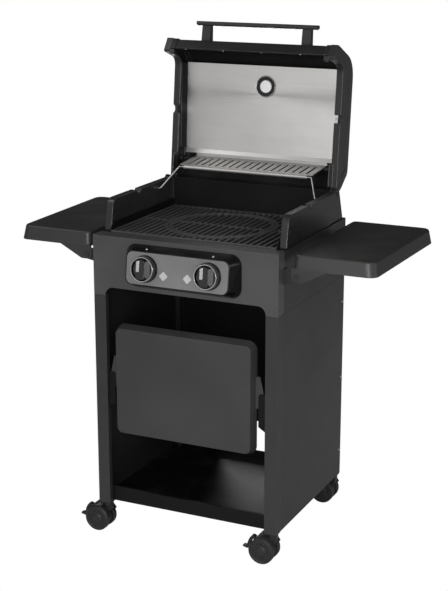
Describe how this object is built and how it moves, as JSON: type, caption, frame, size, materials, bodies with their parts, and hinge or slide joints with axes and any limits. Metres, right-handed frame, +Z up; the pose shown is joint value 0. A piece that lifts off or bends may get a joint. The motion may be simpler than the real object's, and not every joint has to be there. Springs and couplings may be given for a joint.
{
  "type": "gas barbecue grill",
  "caption": "Gas barbecue on a four-caster cart: open lid, cast grates with a round insert, warming rack, two knobs, folding side shelves and a hanging griddle plate.",
  "frame": {"origin": "centre of the bounding box's footprint, on the floor, lid open and shelves up", "axes": "+Z up, -Y towards the user in front of the controls, +X to the user's right"},
  "size_m": [1.1, 0.6516, 1.4415],
  "materials": {
    "fascia": "satin powder coat",
    "panel": "satin powder coat",
    "post": "satin powder coat",
    "shelf": "fine textured powder coat",
    "lid": "satin enamel",
    "casting": "black painted casting",
    "grate": "matt enamelled cast iron",
    "griddle": "matt enamelled cast iron",
    "stainless": "brushed",
    "galvanised": "galvanised",
    "zinc": "zinc plated",
    "chrome": "polished",
    "brass": "machined",
    "ceramic": "glazed ceramic",
    "knob": "gloss",
    "black_plastic": "satin",
    "tread": "matt",
    "handle": "satin",
    "needle": "matt",
    "glass": "clear"
  },
  "bodies": {
    "cart": {"front_panel": "fascia", "left_post": "post", "right_post": "post", "left_side_panel": "panel", "right_side_panel": "panel", "upper_side_panels": "panel", "rear_panel": "panel", "bottom_shelf": "panel", "griddle_hangers": "panel", "caster_sockets": "black_plastic", "control_housing": "black_plastic", "knob_bezels": "black_plastic", "valves": "brass", "manifold": "galvanised", "electrodes": "ceramic", "firebox": "casting", "firebox_left_casting": "casting", "firebox_right_casting": "casting", "burners": "stainless", "flame_tamers": "stainless", "tray_rails": "panel", "pivot_pins": "zinc", "shelf_brackets": "panel", "cart_screws": "zinc"},
    "lid": {"lid_shell": "lid", "lid_left_end": "casting", "lid_right_end": "casting", "lid_liner": "stainless", "lid_handle": "handle", "gauge_case": "chrome", "gauge_glass": "glass", "lid_screws": "zinc"},
    "needle": {"gauge_needle": "needle"},
    "rack": {"warming_rack": "stainless", "rack_brackets": "panel"},
    "legs": {"rack_legs": "chrome"},
    "left_shelf": {"left_shelf": "shelf"},
    "right_shelf": {"right_shelf": "shelf"},
    "left_stem": {"valve_stem_left": "zinc"},
    "left_knob": {"knob_left": "knob", "knob_left_trim": "chrome"},
    "right_stem": {"valve_stem_right": "zinc"},
    "right_knob": {"knob_right": "knob", "knob_right_trim": "chrome"},
    "griddle_plate": {"griddle_plate": "griddle"},
    "left_grate": {"grate_left": "grate"},
    "right_grate": {"grate_right": "grate"},
    "round_insert": {"grate_round": "grate"},
    "grease_tray": {"grease_tray": "lid"},
    "grease_cup": {"grease_cup": "lid"},
    "left_brake": {"brake_left": "black_plastic"},
    "right_brake": {"brake_right": "black_plastic"},
    "caster_front_left": {"caster_front_left": "black_plastic"},
    "wheels_front_left": {"wheels_front_left": "tread"},
    "caster_front_right": {"caster_front_right": "black_plastic"},
    "wheels_front_right": {"wheels_front_right": "tread"},
    "caster_rear_left": {"caster_rear_left": "black_plastic"},
    "wheels_rear_left": {"wheels_rear_left": "tread"},
    "caster_rear_right": {"caster_rear_right": "black_plastic"},
    "wheels_rear_right": {"wheels_rear_right": "tread"}
  },
  "joints": [
    {"name": "lid_hinge", "type": "hinge", "parent": "cart", "child": "lid", "pos_m": [0, 0.188, 0.97], "axis": [-1, 0, 0], "range_deg": [-96, 0]},
    {"name": "rack_pivot", "type": "hinge", "parent": "lid", "child": "rack", "pos_m": [0, 0.243, 1.028], "axis": [1, 0, 0], "range_deg": [-96, 0]},
    {"name": "rack_leg_pivot", "type": "hinge", "parent": "cart", "child": "legs", "pos_m": [0, 0.091, 0.962], "axis": [1, 0, 0], "range_deg": [0, 96]},
    {"name": "left_shelf_fold", "type": "hinge", "parent": "cart", "child": "left_shelf", "pos_m": [-0.317, 0.0085, 0.824], "axis": [0, -1, 0], "range_deg": [0, 90]},
    {"name": "right_shelf_fold", "type": "hinge", "parent": "cart", "child": "right_shelf", "pos_m": [0.317, 0.0085, 0.824], "axis": [0, 1, 0], "range_deg": [0, 90]},
    {"name": "left_knob_push", "type": "slide", "parent": "cart", "child": "left_stem", "axis": [0, 0.9903, -0.1392], "range_m": [0, 0.003], "stiffness_N_per_m": 900, "springref_m": -0.002},
    {"name": "left_knob_turn", "type": "hinge", "parent": "left_stem", "child": "left_knob", "pos_m": [-0.095, -0.292, 0.82], "axis": [0, -0.9903, 0.1392], "range_deg": [0, 220]},
    {"name": "right_knob_push", "type": "slide", "parent": "cart", "child": "right_stem", "axis": [0, 0.9903, -0.1392], "range_m": [0, 0.003], "stiffness_N_per_m": 900, "springref_m": -0.002},
    {"name": "right_knob_turn", "type": "hinge", "parent": "right_stem", "child": "right_knob", "pos_m": [0.095, -0.292, 0.82], "axis": [0, -0.9903, 0.1392], "range_deg": [0, 220]},
    {"name": "gauge_needle_turn", "type": "hinge", "parent": "lid", "child": "needle", "pos_m": [0.014, 0.31673, 1.25008], "axis": [0, 0.9945, -0.1045], "range_deg": [-270, 0]},
    {"name": "griddle_plate_lift", "type": "slide", "parent": "cart", "child": "griddle_plate", "axis": [0, 0, 1], "range_m": [0, 0.05]},
    {"name": "grate_lift", "type": "slide", "parent": "cart", "child": "left_grate", "axis": [0, 0, 1], "range_m": [0, 0.06]},
    {"name": "right_grate_lift", "type": "slide", "parent": "cart", "child": "right_grate", "axis": [0, 0, 1], "range_m": [0, 0.06]},
    {"name": "round_insert_lift", "type": "slide", "parent": "left_grate", "child": "round_insert", "axis": [0, 0, 1], "range_m": [0, 0.06]},
    {"name": "grease_tray_pull", "type": "slide", "parent": "cart", "child": "grease_tray", "axis": [0, 1, 0], "range_m": [0, 0.36]},
    {"name": "grease_cup_pull", "type": "slide", "parent": "grease_tray", "child": "grease_cup", "axis": [0, -1, 0], "range_m": [0, 0.1]},
    {"name": "front_left_swivel", "type": "hinge", "parent": "cart", "child": "caster_front_left", "pos_m": [-0.262, -0.234, 0.09], "axis": [0, 0, 1], "continuous": true},
    {"name": "front_left_wheels_spin", "type": "hinge", "parent": "caster_front_left", "child": "wheels_front_left", "pos_m": [-0.286, -0.234, 0.0375], "axis": [0, 1, 0], "continuous": true},
    {"name": "left_brake_press", "type": "hinge", "parent": "caster_front_left", "child": "left_brake", "pos_m": [-0.302, -0.234, 0.0515], "axis": [0, -1, 0], "range_deg": [0, 12]},
    {"name": "front_right_swivel", "type": "hinge", "parent": "cart", "child": "caster_front_right", "pos_m": [0.262, -0.234, 0.09], "axis": [0, 0, 1], "continuous": true},
    {"name": "front_right_wheels_spin", "type": "hinge", "parent": "caster_front_right", "child": "wheels_front_right", "pos_m": [0.238, -0.234, 0.0375], "axis": [0, 1, 0], "continuous": true},
    {"name": "right_brake_press", "type": "hinge", "parent": "caster_front_right", "child": "right_brake", "pos_m": [0.222, -0.234, 0.0515], "axis": [0, -1, 0], "range_deg": [0, 12]},
    {"name": "rear_left_swivel", "type": "hinge", "parent": "cart", "child": "caster_rear_left", "pos_m": [-0.262, 0.23, 0.09], "axis": [0, 0, 1], "continuous": true},
    {"name": "rear_left_wheels_spin", "type": "hinge", "parent": "caster_rear_left", "child": "wheels_rear_left", "pos_m": [-0.286, 0.23, 0.0375], "axis": [0, 1, 0], "continuous": true},
    {"name": "rear_right_swivel", "type": "hinge", "parent": "cart", "child": "caster_rear_right", "pos_m": [0.262, 0.23, 0.09], "axis": [0, 0, 1], "continuous": true},
    {"name": "rear_right_wheels_spin", "type": "hinge", "parent": "caster_rear_right", "child": "wheels_rear_right", "pos_m": [0.238, 0.23, 0.0375], "axis": [0, 1, 0], "continuous": true}
  ],
  "couplings": [
    {"joint": "rack_pivot", "follows": "lid_hinge", "ratio": 1},
    {"joint": "rack_leg_pivot", "follows": "lid_hinge", "ratio": -1},
    {"joint": "right_grate_lift", "follows": "grate_lift", "ratio": 1}
  ]
}
